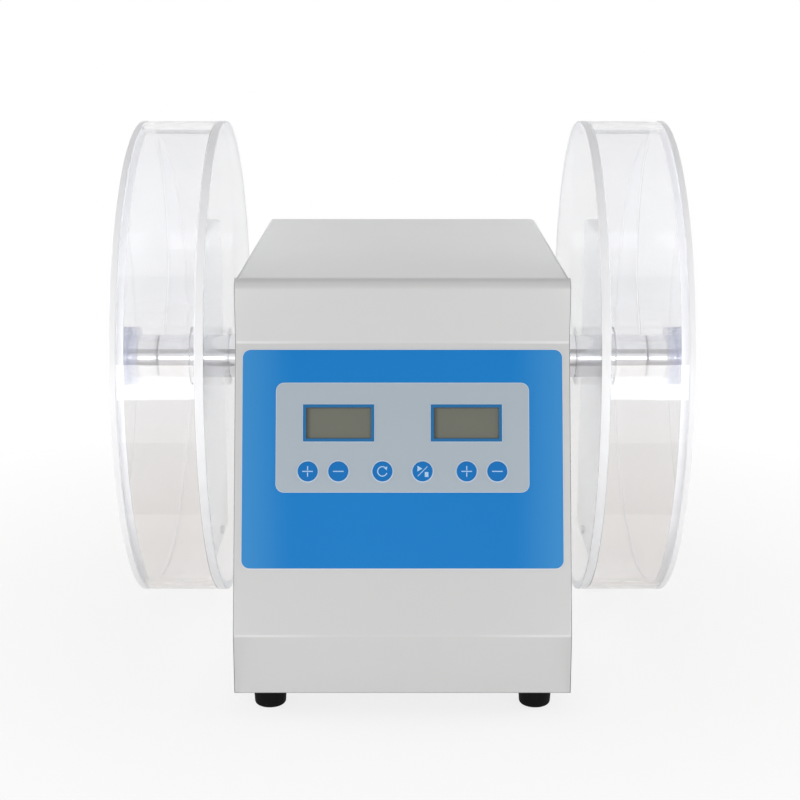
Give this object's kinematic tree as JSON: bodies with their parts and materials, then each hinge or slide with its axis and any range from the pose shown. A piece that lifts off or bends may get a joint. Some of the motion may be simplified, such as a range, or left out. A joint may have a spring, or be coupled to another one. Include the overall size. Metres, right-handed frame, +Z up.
{
  "type": "tablet friability tester",
  "caption": "Bench tester with a sloping control panel and a clear lidded drum on each end of one motor-driven shaft, for tumbling tablets.",
  "frame": {"origin": "on the table, under the middle of the whole machine's bounding box", "axes": "+X along the drum shaft towards the drum on a user's right, -Y towards the user, +Z up"},
  "size_m": [0.37, 0.34, 0.31],
  "materials": {
    "sheet_metal": "fine satin light grey powder coat on sheet steel",
    "zinc_screws": "bright zinc-plated steel",
    "overlay_blue": "blue printed polyester sheet, satin",
    "overlay_grey": "grey-blue printed plastic, satin",
    "display_frame": "blue printed plastic",
    "display_glass": "grey-green liquid-crystal window, glossy",
    "switch_plastic": "black moulded plastic",
    "board_green": "green circuit board with solder mask",
    "brass_posts": "turned brass",
    "gear_plastic": "natural acetal",
    "gear_steel": "machined steel",
    "shaft_steel": "ground steel",
    "gearbox_metal": "plated steel",
    "motor_can": "black painted steel can",
    "bracket_steel": "zinc-plated sheet steel",
    "collar_steel": "blackened steel",
    "disc_black": "black moulded plastic",
    "supply_case": "bare perforated aluminium",
    "entry_black": "black moulded plastic",
    "pin_brass": "nickel-plated brass",
    "rocker_black": "black moulded plastic, glossy",
    "black_screws": "blackened steel",
    "foot_rubber": "black rubber",
    "key_blue": "blue key cap with a white print, satin",
    "bush_bronze": "sintered bronze",
    "hub_chrome": "polished metal",
    "drum_clear": "clear polished acrylic",
    "knob_blue": "blue moulded plastic"
  },
  "bodies": {
    "housing": {"front_panel": "sheet_metal", "housing_cover": "sheet_metal", "base_tray": "sheet_metal", "rear_panel": "sheet_metal", "foot_screws": "zinc_screws", "cover_screws": "zinc_screws", "panel_overlay": "overlay_blue", "key_plate": "overlay_grey", "display_frames": "display_frame", "display_left": "display_glass", "display_right": "display_glass", "key_switches": "switch_plastic", "control_board": "board_green", "board_standoffs": "brass_posts", "gearbox": "gearbox_metal", "motor": "motor_can", "motor_bracket": "bracket_steel", "counter_sensor": "switch_plastic", "power_supply": "supply_case", "mains_entry": "entry_black", "inlet_pins": "pin_brass", "foot_front_left": "foot_rubber", "foot_front_right": "foot_rubber", "foot_rear_left": "foot_rubber", "foot_rear_right": "foot_rubber", "upright_left": "bracket_steel", "bush_left": "bush_bronze", "upright_right": "bracket_steel", "bush_right": "bush_bronze"},
    "rotor": {"drive_shaft": "shaft_steel", "drive_gear": "gear_plastic", "counter_disc": "disc_black", "set_collar": "collar_steel", "collar_screws": "black_screws", "hub_sleeve_left": "hub_chrome", "drum_back_left": "drum_clear", "drum_rim_left": "drum_clear", "drum_collar_left": "drum_clear", "drum_scoop_left": "drum_clear", "hub_sleeve_right": "hub_chrome", "drum_back_right": "drum_clear", "drum_rim_right": "drum_clear", "drum_collar_right": "drum_clear", "drum_scoop_right": "drum_clear"},
    "motor_pinion": {"pinion": "gear_steel", "motor_shaft": "shaft_steel"},
    "lid_left": {"drum_lid_left": "drum_clear"},
    "knob_left": {"knob_boss_left": "hub_chrome", "lid_knob_left": "knob_blue"},
    "lid_right": {"drum_lid_right": "drum_clear"},
    "knob_right": {"knob_boss_right": "hub_chrome", "lid_knob_right": "knob_blue"},
    "button_count_up": {"key_count_up": "key_blue"},
    "button_count_down": {"key_count_down": "key_blue"},
    "button_reset": {"key_reset": "key_blue"},
    "button_run_stop": {"key_run_stop": "key_blue"},
    "button_speed_up": {"key_speed_up": "key_blue"},
    "button_speed_down": {"key_speed_down": "key_blue"},
    "rocker": {"power_rocker": "rocker_black"},
    "fuse_carrier": {"fuse_drawer": "entry_black"}
  },
  "joints": [
    {"name": "drum_spin", "type": "hinge", "parent": "housing", "child": "rotor", "pos_m": [0, 0.0215, 0.1615], "axis": [1, 0, 0], "continuous": true},
    {"name": "motor_spin", "type": "hinge", "parent": "housing", "child": "motor_pinion", "pos_m": [0, 0.0215, 0.109], "axis": [1, 0, 0], "continuous": true},
    {"name": "lid_left_off", "type": "slide", "parent": "rotor", "child": "lid_left", "axis": [-1, 0, 0], "range_m": [0, 0.06]},
    {"name": "knob_left_turn", "type": "hinge", "parent": "lid_left", "child": "knob_left", "pos_m": [-0.17, 0.0215, 0.1615], "axis": [-1, 0, 0], "continuous": true},
    {"name": "lid_right_off", "type": "slide", "parent": "rotor", "child": "lid_right", "axis": [1, 0, 0], "range_m": [0, 0.06]},
    {"name": "knob_right_turn", "type": "hinge", "parent": "lid_right", "child": "knob_right", "pos_m": [0.17, 0.0215, 0.1615], "axis": [1, 0, 0], "continuous": true},
    {"name": "count_up_press", "type": "slide", "parent": "housing", "child": "button_count_up", "axis": [0, 0.9514, -0.3078], "range_m": [0, 0.0005], "stiffness_N_per_m": 800, "springref_m": -0.0005},
    {"name": "count_down_press", "type": "slide", "parent": "housing", "child": "button_count_down", "axis": [0, 0.9514, -0.3078], "range_m": [0, 0.0005], "stiffness_N_per_m": 800, "springref_m": -0.0005},
    {"name": "reset_press", "type": "slide", "parent": "housing", "child": "button_reset", "axis": [0, 0.9514, -0.3078], "range_m": [0, 0.0005], "stiffness_N_per_m": 800, "springref_m": -0.0005},
    {"name": "run_stop_press", "type": "slide", "parent": "housing", "child": "button_run_stop", "axis": [0, 0.9514, -0.3078], "range_m": [0, 0.0005], "stiffness_N_per_m": 800, "springref_m": -0.0005},
    {"name": "speed_up_press", "type": "slide", "parent": "housing", "child": "button_speed_up", "axis": [0, 0.9514, -0.3078], "range_m": [0, 0.0005], "stiffness_N_per_m": 800, "springref_m": -0.0005},
    {"name": "speed_down_press", "type": "slide", "parent": "housing", "child": "button_speed_down", "axis": [0, 0.9514, -0.3078], "range_m": [0, 0.0005], "stiffness_N_per_m": 800, "springref_m": -0.0005},
    {"name": "rocker_tilt", "type": "hinge", "parent": "housing", "child": "rocker", "pos_m": [0.045, 0.1385, 0.0925], "axis": [1, 0, 0], "range_deg": [-16, 0]},
    {"name": "fuse_drawer_pull", "type": "slide", "parent": "housing", "child": "fuse_carrier", "axis": [0, 1, 0], "range_m": [0, 0.018]}
  ],
  "couplings": [
    {"joint": "motor_spin", "follows": "drum_spin", "ratio": -2.5}
  ]
}
